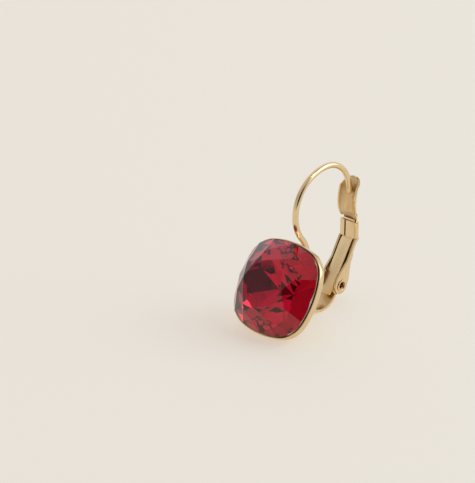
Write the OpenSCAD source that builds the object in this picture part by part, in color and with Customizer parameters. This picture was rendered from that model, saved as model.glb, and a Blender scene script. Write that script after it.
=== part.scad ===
// Drop earring with a lever back: a square cushion stone in a metal cup, worn on a bent ear hook
// that a hinged lever closes from behind. It stands by itself, leaning back on its cup and bracket.
// Shapes are drawn with the stone upright and facing minus Y, and stand() then leans them back.

/* [Stone] */
// Width and height of the square stone
stone_w = 12; // [11.4:0.1:12.6]
// Radius of the bowed sides of the stone
side_r = 11.8; // [10.5:0.1:13]
// Radius of the rounded corners of the stone
corner_r = 3.6; // [3.3:0.05:3.9]
// Height of the flat table in front of the girdle
table_h = 2.8; // [2.5:0.05:2.9]
// Distance from the middle of the table to its corners
table_r = 3.17; // [3:0.01:3.4]
// Depth of the point behind the girdle
culet_h = 3.75; // [3.6:0.05:4]

/* [Cup] */
// Gap between the girdle of the stone and the cup
stone_gap = 0.07; // [0.06:0.01:0.12]
// Thickness of the straight wall around the stone
lip_t = 0.18; // [0.15:0.01:0.26]
// Distance of the front edge of the cup behind the girdle
lip_y = 0.3; // [0.2:0.02:0.4]
// Distance of the end of the straight wall behind the girdle
wall_y = 1.2; // [1.1:0.05:1.3]
// Distance of the back face of the cup behind the girdle
cup_y = 5.42; // [5.3:0.02:5.6]
// Thickness of the sloping wall and of the back of the cup
cup_t = 0.3; // [0.25:0.01:0.35]

/* [Ear hook and bracket] */
// Diameter of the ear hook wire
wire_d = 0.8; // [0.7:0.02:0.9]
// Width of the bracket strip
strip_w = 2.24; // [2.2:0.02:2.3]
// Thickness of the bracket strip
strip_t = 0.4; // [0.3:0.02:0.45]
// Radius of the round trough of the bracket, to the middle of the strip
trough_r = 3.03; // [2.95:0.01:3.1]
// Thickness of the two hinge plates of the bracket
plate_t = 0.27; // [0.24:0.01:0.28]
// Radius of the round part of the hinge plates
plate_r = 1.35; // [1.25:0.01:1.4]

/* [Lever] */
// Width over the two sides of the lever
lever_w = 2.94; // [2.9:0.01:3]
// Thickness of the sheet of the lever
sheet_t = 0.3; // [0.26:0.01:0.3]
// Radius of the round ends of the lever about the hinge pin
eye_r = 1.22; // [1.1:0.01:1.3]
// Height of the collar around the neck of the lever
collar_h = 2.5; // [2.4:0.05:2.55]
// Height of the top of the lever above its bend
shell_top = 8.25; // [8:0.05:8.5]
// Width of the top of the lever
shell_w = 3; // [2.9:0.02:3.1]

/* [Spring and pin] */
// Width of the flat spring between the sides of the lever
spring_w = 1.9; // [1.8:0.02:1.94]
// Width of its lower part, between the hinge plates
spring_end_w = 1.6; // [1.4:0.02:1.62]
// Thickness of the flat spring
spring_t = 0.17; // [0.12:0.01:0.18]
// Diameter of the hinge pin
pin_d = 1.1; // [1:0.02:1.12]
// Diameter of the hole through the hinge pin
pin_hole_d = 0.76; // [0.6:0.02:0.8]

/* [Hidden] */
ruby = [0.62, 0.05, 0.13];
gold = [0.83, 0.68, 0.42];

// Lean of the standing earring from upright
lean = 30.54;

// Outline of the stone, from its side and corner circles
half_w = stone_w / 2;
bow = side_r - half_w;
corner_c = let(b = side_r - corner_r) (sqrt(2 * b * b - bow * bow) - bow) / 2;
corner_a = atan2(corner_c, corner_c + bow);
corner_lap = 0.005;
side_end = atan2(side_r * sin(corner_a), side_r * cos(corner_a) - bow);

// Facets of the stone
kite_h = 0.45;
kite_in = 0.3;
star_tilt = 27;
back_h = 0.45;
back_in = 0.2;
back_side_h = 0.2;
back_meet_r = 3.4;

// Cup
wall_grow = stone_gap + lip_t;
back_grow = 0.3 - corner_r;
seat_grow = -0.25;
seat_y = 0.62;
slope = (wall_grow - back_grow) / (cup_y - wall_y);
slope_t = cup_t * sqrt(1 + slope ^ 2);

// Bracket
trough_out = trough_r + strip_t / 2;
leg_y = cup_y + 0.15;
trough_y = leg_y + trough_r;
edge_z = half_w + wall_grow;
trough_z = (trough_out - wall_y * sin(lean) - edge_z * cos(lean) + trough_y * sin(lean)) / cos(lean);
leg_z = trough_z + 0.33;
pivot = [trough_y + 3, trough_z + 1.19];
plate_x = strip_w / 2;

// Ear hook, as radius and turn of each bend, with turns to the front counted up
hook_start = [leg_y, trough_z - 0.38];
hook_bends = [[5.8, 71], [5.1, -109], [7.3, -20], [4.8, -92]];

// Lever, with its bend to the upright part
bend = [pivot[0] - 0.25, pivot[1] + 6.47];
side_in = lever_w / 2 - sheet_t;
collar_t = 0.7;
collar_u = 0.05;
slot_u = [-0.17, 0.105];
neck_z = 3;
neck_x = 1;
round_z = 4;
round_r = 15;
shell_u = 0.385;
shell_r = shell_w / 2;

// Hinge
pin_r = pin_d / 2;
pin_head_r = 0.78;
pin_head_t = 0.13;
pin_head_x = lever_w / 2 + 0.03;

// Place on the floor
front = table_h * cos(lean) + table_r * sin(lean);
top_u = shell_u + round_r - sqrt(round_r ^ 2 - (shell_top - round_z) ^ 2);
rear = bend[0] * cos(lean) + bend[1] * sin(lean) + top_u;
stand_y = (front - rear) / 2;
stand_z = wall_y * sin(lean) + edge_z * cos(lean);

function unit(v) = v / norm(v);
function at(a, r, h) = [r * cos(a), r * sin(a), h];
function plane(p, q, r) = let(n = unit(cross(q - p, r - p)), s = n * p < 0 ? -1 : 1) [n * s, n * p * s];
function level_plane(a, p, q) = plane(p, q, p + [-sin(a), cos(a), 0]);
function meet(f, g, h) =
    (f[1] * cross(g[0], h[0]) + g[1] * cross(h[0], f[0]) + h[1] * cross(f[0], g[0]))
    / (f[0] * cross(g[0], h[0]));

// Distance of the outline from the middle, in the direction a
function off_axis(a) = let(m = (a % 90 + 90) % 90) min(m, 90 - m);
function edge_r(a) = let(d = off_axis(a))
    d < side_end ? sqrt(side_r ^ 2 - (bow * sin(d)) ^ 2) - bow * cos(d)
    : corner_c * (cos(d) + sin(d)) + sqrt(corner_r ^ 2 - (corner_c * (cos(d) - sin(d))) ^ 2);

// Facet planes of the front: a kite at each corner of the table, a star and two halves between
function kite_tip(a) = at(a, edge_r(a) - kite_in, kite_h);
function kite(a) = level_plane(a, at(a, table_r, table_h), kite_tip(a));
function star(a) = let(r = table_r * cos(22.5))
    level_plane(a, at(a, r, table_h), at(a, r + 1, table_h - tan(star_tilt)));
function front_facets(a) = let(
    s = meet(kite(a - 22.5), kite(a + 22.5), star(a)),
    b = atan2(s[1], s[0]),
    g = at(b, edge_r(b), 0))
    [star(a), plane(s, kite_tip(a - 22.5), g), plane(s, kite_tip(a + 22.5), g)];

// Facet planes of the back: eight that meet in the point, and two halves between them
function back_tip(a) = at(a, edge_r(a) - back_in, -back_h);
function back_main(a) = level_plane(a, [0, 0, -culet_h], back_tip(a));
function back_facets(a) = let(
    s = meet(back_main(a - 22.5), back_main(a + 22.5), [[cos(a), sin(a), 0], back_meet_r]),
    b = atan2(s[1], s[0]),
    g = at(b, edge_r(b), -back_side_h))
    [plane(s, back_tip(a - 22.5), g), plane(s, back_tip(a + 22.5), g)];
function facets() = [for (k = [0:7]) let(a = 45 * k)
    each [kite(a), back_main(a), each front_facets(a + 22.5), each back_facets(a + 22.5)]];

// Point behind and above the bend of the lever, in the upright direction
function upright_point(u, w) =
    bend + [u * cos(lean) - w * sin(lean), u * sin(lean) + w * cos(lean)];

// Place and heading after the first n bends of the ear hook
function left(h) = [-sin(h), cos(h)];
function after(n) = n == 0 ? [hook_start, 90] : let(
    p = after(n - 1),
    r = hook_bends[n - 1][0],
    t = hook_bends[n - 1][1],
    s = sign(t))
    [p[0] + s * r * (left(p[1]) - left(p[1] + t)), p[1] + t];

// The earring leans back onto the floor
module stand() {
    translate([0, stand_y, stand_z]) rotate([-lean, 0, 0]) children();
}

// A drawing of depth and height becomes a sheet of the width w about the middle
module side_view(w) {
    rotate([90, 0, 90]) translate([0, 0, -w / 2]) linear_extrude(w) children();
}

// The upper part of the lever is upright when the earring stands
module upright() {
    translate([0, bend[0], bend[1]]) rotate([lean, 0, 0]) children();
}

// One of the four corners or sides of the stone's outline, as a plain or conical block
module corner_block(h, g1, g2) {
    r = corner_r + corner_lap;
    translate([corner_c, corner_c]) cylinder(h = h, r1 = r + g1, r2 = r + g2, $fn = 96);
}
module side_block(h, g1, g2) {
    c = corner_c;
    x = c + 2 * side_r * sin(corner_a);
    y = c + 2 * side_r * cos(corner_a);
    intersection() {
        translate([0, -bow]) cylinder(h = h, r1 = side_r + g1, r2 = side_r + g2, $fn = 360);
        linear_extrude(h) polygon([[-c, -1], [c, -1], [c, c], [x, y], [-x, y], [-c, c]]);
    }
}

// A block with the stone's outline, grown by g1 at its bottom and by g2 at its top
module cushion(h, g1, g2) {
    for (q = [0:90:270]) rotate(q) {
        corner_block(h, g1, g2);
        side_block(h, g1, g2);
    }
}

// All that is behind one facet plane
module behind(p) {
    size = 40;
    turn = [0, acos(p[0][2]), atan2(p[0][1], p[0][0])];
    rotate(turn) translate([-size / 2, -size / 2, p[1] - size]) cube(size);
}

// The stone, with a flat table
module stone() {
    color(ruby) stand() rotate([90, 0, 0]) intersection() {
        translate([0, 0, -culet_h]) cushion(table_h + culet_h, 0, 0);
        intersection_for (f = facets()) behind(f);
    }
}

// The cup: a straight wall that slopes in to a flat back, with a seat for the stone
module cup() {
    in_y = cup_y - cup_t;
    seat_end = wall_y + (wall_grow - slope_t - seat_grow) / slope;
    in_grow = wall_grow - slope_t - slope * (in_y - wall_y);
    rotate([-90, 0, 0]) difference() {
        union() {
            translate([0, 0, lip_y]) cushion(wall_y - lip_y, wall_grow, wall_grow);
            translate([0, 0, wall_y]) cushion(cup_y - wall_y, wall_grow, back_grow);
        }
        translate([0, 0, lip_y - 1]) cushion(seat_y - lip_y + 1, stone_gap, stone_gap);
        translate([0, 0, seat_y - 0.1]) cushion(seat_end - seat_y + 0.1, seat_grow, seat_grow);
        translate([0, 0, seat_end]) cushion(in_y - seat_end, seat_grow, in_grow);
    }
}

// The strip: a leg on the back of the cup and a round trough that ends below the hinge
module strip() {
    side_view(strip_w) difference() {
        union() {
            translate([trough_y, trough_z]) circle(r = trough_out, $fn = 120);
            translate([trough_y - trough_out, trough_z]) square([2 * trough_out, leg_z - trough_z]);
        }
        translate([trough_y, trough_z]) circle(r = trough_out - strip_t, $fn = 120);
        translate([trough_y - trough_out + strip_t, trough_z]) square([2 * (trough_out - strip_t), 10]);
        translate([trough_y - 10, leg_z]) square([20, 10]);
    }
    translate([0, leg_y + strip_t / 2, leg_z]) rotate([90, 0, 0])
        cylinder(h = strip_t, d = strip_w, $fn = 96);
}

// The hinge plates, turned up at the end of the strip
module hinge_plate() {
    side_view(plate_t) difference() {
        union() {
            translate(pivot) circle(r = plate_r, $fn = 96);
            translate(pivot) polygon([[0, 0], [-0.3, plate_r - 0.02], [-1.18, 1.3], [-1.16, -0.62]]);
        }
        translate(pivot) circle(r = pin_r + 0.03, $fn = 72);
    }
}

// The ear hook wire: four bends, with a short sleeve where they meet, and round ends
module hook_bend(n) {
    from = after(n);
    turn = hook_bends[n][1];
    r = hook_bends[n][0];
    middle = from[0] + sign(turn) * r * left(from[1]);
    first = turn > 0 ? from[1] - 90 : from[1] + turn + 90;
    translate([0, middle[0], middle[1]]) rotate([90, 0, 90]) rotate(first)
        rotate_extrude(angle = abs(turn), $fn = 180) translate([r, 0]) circle(d = wire_d, $fn = 48);
}
module along_hook(n) {
    p = after(n);
    translate([0, p[0][0], p[0][1]]) rotate([p[1] - 90, 0, 0]) children();
}
module hook_end() {
    r = wire_d / 2 - 0.01;
    rotate_extrude($fn = 48) polygon([[0, 0], [r, 0], [r, 0.06], [0.85 * r, 0.2], [0.55 * r, 0.3], [0, 0.3]]);
}
module ear_hook() {
    for (n = [0:3]) hook_bend(n);
    for (n = [0:4]) along_hook(n) cylinder(h = 0.06, d = wire_d + 0.01, center = true, $fn = 48);
    along_hook(0) mirror([0, 0, 1]) hook_end();
    along_hook(4) hook_end();
}

// The cup, strip, hinge plates and ear hook are soldered into one piece
module setting() {
    color(gold) stand() {
        cup();
        strip();
        for (s = [-1, 1]) translate([s * (plate_x - plate_t / 2), 0, 0]) hinge_plate();
        ear_hook();
    }
}

// Depth and height of the back edge of the lever, up to the bend
lever_back = [
    pivot + [0.93, 1.54],
    pivot + [0.65, 2.14],
    pivot + [0.21, 3.34],
    pivot + [0.17, 4.2],
    pivot + [-0.12, 4.64],
    pivot + [-0.12, 5.89],
    pivot + [0.09, 6.52],
    upright_point(0.38, 0.04)];

// The sides of the lever, with a round eye for the pin
module lever_side() {
    side_view(sheet_t) difference() {
        union() {
            translate(pivot) circle(r = eye_r, $fn = 96);
            polygon([
                upright_point(-0.28, 0.04),
                pivot + [-0.5, 6.32],
                pivot + [-0.5, 3.24],
                pivot + [-1.2, 0.94],
                pivot + [0.02 - eye_r, -0.1],
                pivot,
                pivot + [eye_r - 0.01, -0.1],
                pivot + [1.06, 1.24],
                each lever_back]);
        }
        translate(pivot) circle(r = pin_r + 0.05, $fn = 72);
    }
}

// The back of the lever, which joins its sides
module lever_web() {
    ahead = [for (k = [len(lever_back) - 2:-1:0]) lever_back[k] - [0.23, 0]];
    side_view(lever_w - sheet_t) polygon([
        each lever_back,
        upright_point(slot_u[1] + 0.01, 0.04),
        each ahead]);
}

// The collar: a flat band with a slot for the spring and a seam in front
module collar() {
    end_r = collar_t / 2;
    difference() {
        linear_extrude(collar_h) union() {
            for (s = [-1, 1]) translate([s * (lever_w / 2 - end_r), collar_u]) circle(r = end_r, $fn = 48);
            translate([end_r - lever_w / 2, collar_u - end_r]) square([lever_w - 2 * end_r, collar_t]);
        }
        translate([-spring_w / 2 - 0.06, slot_u[0], -1]) cube([spring_w + 0.12, slot_u[1] - slot_u[0], 9]);
        translate([-spring_w / 2 - 0.06, -1, -1]) cube([spring_w + 0.12, 1 + slot_u[1], 1.1]);
        translate([-0.52, -1, -1]) cube([0.2, 0.9, collar_h * 0.6 + 1]);
    }
}

// Outline of the upper lever from the front: a narrow neck that widens to a round top
module shell_outline() {
    top_r = 1.1;
    difference() {
        union() {
            for (s = [-1, 1]) translate([s * (shell_r - top_r), shell_top - top_r])
                circle(r = top_r, $fn = 72);
            translate([top_r - shell_r, 0]) square([shell_w - 2 * top_r, shell_top]);
            translate([-shell_r, 0]) square([shell_w, shell_top - top_r]);
        }
        for (s = [-1, 1]) {
            translate([s * (neck_x + 1.6), neck_z - 0.2]) circle(r = 1.6, $fn = 96);
            translate([s * (neck_x + 1.6) - 1.6, -1]) square([3.2, neck_z + 0.8]);
        }
    }
}

// A round bar along the upper lever, bowed to the back, with its lower end at the height low
module shell_bar(r, low) {
    turn = 18 + asin((round_z - low) / (round_r + shell_r));
    translate([0, shell_u + round_r, round_z]) rotate([90, 0, 90]) rotate(162)
        rotate_extrude(angle = turn, $fn = 360) translate([round_r + shell_r, 0]) circle(r = r, $fn = 96);
}

// The upper lever: a spoon-shaped shell, open to the front, on a flat neck
module shell() {
    difference() {
        intersection() {
            translate([0, 2, 0]) rotate([90, 0, 0]) linear_extrude(4) shell_outline();
            translate([-3, 4.43, 5.1]) rotate([0, 90, 0]) cylinder(h = 6, r = 5.2, $fn = 240);
            union() {
                shell_bar(shell_r, neck_z + 0.05);
                side_view(2 * neck_x) polygon([
                    [slot_u[1], collar_h - 0.2],
                    [shell_u, collar_h - 0.2],
                    [shell_u, neck_z + 0.1],
                    [-0.02, neck_z + 1.25],
                    [-0.45, neck_z + 1.25],
                    [-0.45, neck_z],
                    [slot_u[1], neck_z]]);
            }
        }
        shell_bar(shell_r - 0.28, neck_z + 0.42);
    }
}

// The lever is one sheet, hinged on the pin
module lever() {
    color(gold) stand() {
        for (s = [-1, 1]) translate([s * (lever_w - sheet_t) / 2, 0, 0]) lever_side();
        lever_web();
        upright() {
            collar();
            shell();
        }
    }
}

// The spring: a flat strip from the collar to below the pin, narrower between the hinge plates
module spring_outline() {
    t = spring_t / 2;
    mid = [
        upright_point(-0.035, collar_h + 0.4),
        upright_point(-0.035, 0),
        pivot + [-0.47, 5.94],
        pivot + [-0.63, 1.54],
        pivot + [-0.7, 0],
        pivot + [-0.91, -1.71]];
    turn = [lean, lean / 2 - 10, -8, 2.3, 4.8, 7];
    polygon([
        for (k = [0:5]) mid[k] + [t, t * tan(turn[k])],
        for (k = [5:-1:0]) mid[k] - [t, t * tan(turn[k])]]);
}
module spring() {
    color(gold) stand() {
        side_view(spring_end_w) spring_outline();
        side_view(spring_w) intersection() {
            spring_outline();
            translate([0, pivot[1] + 2]) square(20);
        }
    }
}

// The hinge pin: a hollow rivet with a flat head at each end
module hinge_pin() {
    end = pin_head_x + pin_head_t;
    color(gold) stand() translate([0, pivot[0], pivot[1]]) rotate([0, 90, 0]) difference() {
        union() {
            translate([0, 0, -end]) cylinder(h = 2 * end, r = pin_r, $fn = 72);
            for (s = [0, 1]) mirror([0, 0, s]) translate([0, 0, pin_head_x])
                cylinder(h = pin_head_t, r = pin_head_r, $fn = 72);
        }
        translate([0, 0, -end - 1]) cylinder(h = 2 * end + 2, d = pin_hole_d, $fn = 48);
        for (s = [0, 1]) mirror([0, 0, s]) translate([0, 0, end - 0.2])
            cylinder(h = 0.21, r1 = pin_hole_d / 2, r2 = pin_hole_d / 2 + 0.2, $fn = 48);
    }
}

stone();
setting();
lever();
spring();
hinge_pin();
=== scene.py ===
"""Looks, camera and light for a lever-back earring with a square cushion crystal.

The pieces are modelled in millimetres with the stone upright and facing minus Y, as in the part's
source. They are then leaned back and set in the shared frame, in metres.
"""
import logging
import math
from dataclasses import dataclass, field
from enum import Enum, IntEnum
from typing import Callable, Iterable, Sequence

import bmesh
import bpy
from mathutils import Matrix, Vector


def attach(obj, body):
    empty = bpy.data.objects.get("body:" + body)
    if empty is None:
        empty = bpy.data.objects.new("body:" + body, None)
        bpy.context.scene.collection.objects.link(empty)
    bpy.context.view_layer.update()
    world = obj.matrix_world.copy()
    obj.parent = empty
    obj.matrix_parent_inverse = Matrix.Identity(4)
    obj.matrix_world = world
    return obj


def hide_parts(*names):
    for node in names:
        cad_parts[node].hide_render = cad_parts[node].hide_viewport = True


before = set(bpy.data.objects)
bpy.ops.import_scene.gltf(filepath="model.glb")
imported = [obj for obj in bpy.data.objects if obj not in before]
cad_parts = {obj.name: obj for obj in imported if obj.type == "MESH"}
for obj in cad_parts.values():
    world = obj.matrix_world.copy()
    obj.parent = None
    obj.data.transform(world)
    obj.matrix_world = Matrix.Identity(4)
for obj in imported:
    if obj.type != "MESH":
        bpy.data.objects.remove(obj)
logging.basicConfig(level=logging.INFO, format="%(levelname)s %(message)s")
LOG = logging.getLogger("earring")

Point = tuple[float, float]
Color = tuple[float, float, float]
Plane = tuple[Vector, float]
Mesh = bmesh.types.BMesh
Vert = bmesh.types.BMVert
Edge = bmesh.types.BMEdge
Face = bmesh.types.BMFace
Material = bpy.types.Material
Tree = bpy.types.NodeTree
Node = bpy.types.Node

# Metres in a millimetre; the meshes are made in millimetres
MM = 0.001
# How far the stone leans back
LEAN = math.radians(30.54)
# Vertices nearer to each other than this become one
WELD = 1e-4
# Vertices nearer to a cutting plane than this lie on it
CUT = 1e-5
# Vertices nearer to a wall than this are on it
NEAR = 1e-3
# A face looks along an axis if this much of its normal does
FACING = 0.9
# A face looks roughly along an axis if this much of its normal does
LEANING = 0.5
# Edges that turn by more than this, in radians, are sharp
SHARP = 0.6
# A flat grid of one face
ONE_FACE = {"x_segments": 1, "y_segments": 1, "size": 1.0}


class Body(Enum):
    """The rigid bodies that the pieces ride on."""

    FIXED = "body"
    LEVER = "back"


class Slot(Enum):
    """The record's material slots."""

    GOLD = "gold"
    CRYSTAL = "ruby_crystal"


class Facet(IntEnum):
    """The places of the stone's finishes in its list of materials."""

    FRONT = 0
    BACK = 1
    GIRDLE = 2


def only(geom: Iterable, kind: type) -> list:
    """Keep the elements of one kind, such as vertices."""
    return [g for g in geom if isinstance(g, kind)]


def smooth(low: float, high: float, value: float) -> float:
    """Smooth step from 0 at low to 1 at high."""
    t = max(0.0, min(1.0, (value - low) / (high - low)))
    return t * t * (3 - 2 * t)


def direction(azimuth: float, elevation: float) -> Vector:
    """Direction from the earring, in degrees round from plus X and degrees above the floor."""
    a, e = math.radians(azimuth), math.radians(elevation)
    return Vector((math.cos(a) * math.cos(e), math.sin(a) * math.cos(e), math.sin(e)))


def put(name: str, data: bpy.types.ID) -> bpy.types.Object:
    """Put a new object in the scene.

    Args:
        name: the object's name.
        data: its mesh, light or camera.

    Returns:
        The object.
    """
    obj = bpy.data.objects.new(name, data)
    bpy.context.scene.collection.objects.link(obj)
    return obj


@dataclass(frozen=True)
class Arc:
    """A round stretch of an outline, which runs from the corner before it."""

    centre: Point
    end: Point
    steps: int


def spin(bm: Mesh, geom: Sequence, centre: Sequence[float], axis: Sequence[float], angle: float,
         steps: int, closed: bool = False) -> list:
    """Turn geometry about an axis, keep what it sweeps and return what is at the end."""
    made = bmesh.ops.spin(bm, geom=geom, cent=centre, axis=axis, dvec=(0, 0, 0), angle=angle,
                          steps=steps, use_merge=closed, use_duplicate=False)
    return made["geom_last"]


def arc(bm: Mesh, vert: Vert, centre: Vector, axis: Vector, angle: float, steps: int) -> Vert:
    """Draw an arc of edges from a vertex, and return its end."""
    return only(spin(bm, [vert], centre, axis, angle, steps), Vert)[0]


def line(bm: Mesh, vert: Vert, to: Vector) -> Vert:
    """Draw one edge from a vertex.

    Args:
        bm: the mesh.
        vert: where the edge starts.
        to: where it ends.

    Returns:
        The vertex at the end.
    """
    end = bmesh.ops.extrude_vert_indiv(bm, verts=[vert])["verts"][0]
    end.co = to
    return end


def close(bm: Mesh) -> None:
    """Draw the last edge of an outline, between its two ends."""
    bm.edges.new([v for v in bm.verts if len(v.link_edges) == 1])


def fill(bm: Mesh) -> None:
    """Fill an outline, leaving out the outlines inside it."""
    bmesh.ops.triangle_fill(bm, edges=bm.edges[:], use_beauty=True, use_dissolve=False)


def push(bm: Mesh, faces: Sequence[Face], shift: Sequence[float]) -> list:
    """Thicken faces into a solid.

    Args:
        bm: the mesh.
        faces: the faces at one end.
        shift: the way from them to the other end.

    Returns:
        The geometry at the other end.
    """
    made = bmesh.ops.extrude_face_region(bm, geom=faces)["geom"]
    bmesh.ops.translate(bm, verts=only(made, Vert), vec=shift)
    return made


def outward(bm: Mesh) -> None:
    """Turn all faces outward."""
    bmesh.ops.recalc_face_normals(bm, faces=bm.faces[:])


def round_off(bm: Mesh, edges: Sequence[Edge], width: float, segments: int) -> None:
    """Round edges, with a number of faces across the rounding."""
    bmesh.ops.bevel(bm, geom=edges, offset=width, offset_type="OFFSET", segments=segments,
                    profile=0.5, affect="EDGES", clamp_overlap=True, material=-1)


def soften(bm: Mesh, width: float, segments: int = 2, angle: float = SHARP) -> None:
    """Round the edges that turn by more than an angle in radians."""
    sharp = [e for e in bm.edges if len(e.link_faces) == 2 and e.calc_face_angle(0.0) > angle]
    round_off(bm, sharp, width, segments)


def plate(points: Sequence[Point | Arc], thick: float, hole: float = 0.0) -> Mesh:
    """Cut a plate from a sheet that stands in the plane of depth and height.

    Args:
        points: the corners and arcs of its outline.
        thick: thickness along X, about the middle.
        hole: radius of a round hole at the hinge pin, or 0 for none.

    Returns:
        The mesh of the plate.
    """
    bm = bmesh.new()
    x = -thick / 2
    vert = bm.verts.new((x, *points[0]))
    for p in points[1:]:
        if isinstance(p, Arc):
            cy, cz = p.centre
            start = math.atan2(vert.co.z - cz, vert.co.y - cy)
            turn = (math.atan2(p.end[1] - cz, p.end[0] - cy) - start) % (2 * math.pi)
            vert = arc(bm, vert, Vector((x, cy, cz)), Vector((1, 0, 0)), turn, p.steps)
        else:
            vert = line(bm, vert, Vector((x, *p)))
    close(bm)
    if hole:
        place = Matrix.Translation((x, *SIZES.pivot)) @ Matrix.Rotation(math.pi / 2, 4, "Y")
        bmesh.ops.create_circle(bm, cap_ends=False, radius=hole, segments=40, matrix=place)
    fill(bm)
    bmesh.ops.dissolve_limit(bm, angle_limit=0.01, verts=[], edges=bm.edges[:],
                             use_dissolve_boundaries=False, delimit=set())
    push(bm, bm.faces[:], (thick, 0, 0))
    outward(bm)
    return bm


def joined(parts: Sequence[Mesh]) -> Mesh:
    """Put several meshes into one.

    Args:
        parts: the meshes, which are freed.

    Returns:
        The mesh of them all.
    """
    whole = bmesh.new()
    for part in parts:
        mesh = bpy.data.meshes.new("part")
        part.to_mesh(mesh)
        part.free()
        whole.from_mesh(mesh)
        bpy.data.meshes.remove(mesh)
    return whole


def pair(points: Sequence[Point | Arc], thick: float, hole: float, rounding: float, out: float) -> Mesh:
    """Cut two equal plates that stand to the left and right of the middle.

    Args:
        points: the corners and arcs of their outline.
        thick: their thickness.
        hole: radius of their round hole at the hinge pin.
        rounding: width of the rounding of their edges.
        out: how far from the middle they stand.

    Returns:
        The mesh of both.
    """
    parts = []
    for side in (-1, 1):
        bm = plate(points, thick, hole)
        soften(bm, rounding)
        bmesh.ops.translate(bm, verts=bm.verts[:], vec=(side * out, 0, 0))
        parts.append(bm)
    return joined(parts)


def looks_in(face: Face) -> bool:
    """Tell whether a face looks from the left or right to the middle."""
    x = face.calc_center_median().x
    return face.normal.x * x < -FACING * abs(x)


def mark(bm: Mesh, inner: Callable[[Face], bool]) -> None:
    """Give the second material to the faces that pass a test."""
    for face in bm.faces:
        face.material_index = int(inner(face))


def piece(name: str, bm: Mesh, materials: Sequence[Material], body: Body, slot: Slot, node: str,
          sharp: float = SHARP) -> None:
    """Make a piece from a mesh in millimetres, lean it back and set it on the floor.

    Args:
        name: the piece's name.
        bm: the mesh, with the stone upright.
        materials: its materials.
        body: the body that it rides on.
        slot: the record's slot that its finish is from; not used.
        node: the CAD node that it stands for.
        sharp: edges that turn by more than this, in radians, stay sharp in shading.
    """
    place = Matrix.Scale(MM, 4) @ Matrix.Translation(SIZES.stand) @ Matrix.Rotation(-LEAN, 4, "X")
    bmesh.ops.transform(bm, matrix=place, verts=bm.verts[:])
    mesh = bpy.data.meshes.new(name)
    bm.to_mesh(mesh)
    bm.free()
    for polygon in mesh.polygons:
        polygon.use_smooth = True
    mesh.set_sharp_from_angle(angle=sharp)
    for material in materials:
        mesh.materials.append(material)
    obj = put(name, mesh)
    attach(obj, body.value)
    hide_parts(node)
    LOG.info("piece %s: %d faces, on %s", name, len(mesh.polygons), body.value)


@dataclass(frozen=True)
class Cushion:
    """The outline of the stone: four bowed sides and four round corners."""

    half: float = 6.0
    side_r: float = 11.8
    corner_r: float = 3.6
    side_steps: int = 20
    corner_steps: int = 16

    @property
    def bow(self) -> float:
        """Distance of a side's centre behind the middle."""
        return self.side_r - self.half

    @property
    def corner(self) -> float:
        """Place of a corner's centre, the same across and up."""
        b = self.side_r - self.corner_r
        return (math.sqrt(2 * b * b - self.bow**2) - self.bow) / 2

    @property
    def side_turn(self) -> float:
        """Half the turn of a side, about its own centre."""
        return math.atan2(self.corner, self.corner + self.bow)

    def reach(self, angle: float) -> float:
        """Distance of the outline from the middle.

        Args:
            angle: direction in radians.

        Returns:
            The distance in millimetres.
        """
        quarter = math.pi / 2
        d = angle % quarter
        d = min(d, quarter - d)
        end = math.atan2(
            self.side_r * math.sin(self.side_turn), self.side_r * math.cos(self.side_turn) - self.bow
        )
        if d < end:
            return math.sqrt(self.side_r**2 - (self.bow * math.sin(d)) ** 2) - self.bow * math.cos(d)
        c = self.corner
        across = c * (math.cos(d) - math.sin(d))
        return c * (math.cos(d) + math.sin(d)) + math.sqrt(self.corner_r**2 - across**2)

    def draw(self, bm: Mesh, grow: float, y: float) -> list[Edge]:
        """Draw the outline as a loop of edges.

        Args:
            bm: the mesh.
            grow: how far the loop lies outside the outline.
            y: its depth.

        Returns:
            The loop's edges.
        """
        before = {*bm.verts, *bm.edges}
        axis = Vector((0, -1, 0))
        start = -self.side_turn
        r = self.side_r + grow
        c = self.corner
        vert = bm.verts.new((r * math.cos(start) - self.bow, y, r * math.sin(start)))
        for quarter in range(4):
            a = quarter * math.pi / 2
            middle = Vector((-self.bow * math.cos(a), y, -self.bow * math.sin(a)))
            vert = arc(bm, vert, middle, axis, 2 * self.side_turn, self.side_steps)
            middle = Vector((c * math.cos(a) - c * math.sin(a), y, c * math.sin(a) + c * math.cos(a)))
            vert = arc(bm, vert, middle, axis, math.pi / 2 - 2 * self.side_turn, self.corner_steps)
        bmesh.ops.remove_doubles(bm, verts=[v for v in bm.verts if v not in before], dist=WELD)
        return [e for e in bm.edges if e not in before]


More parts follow.
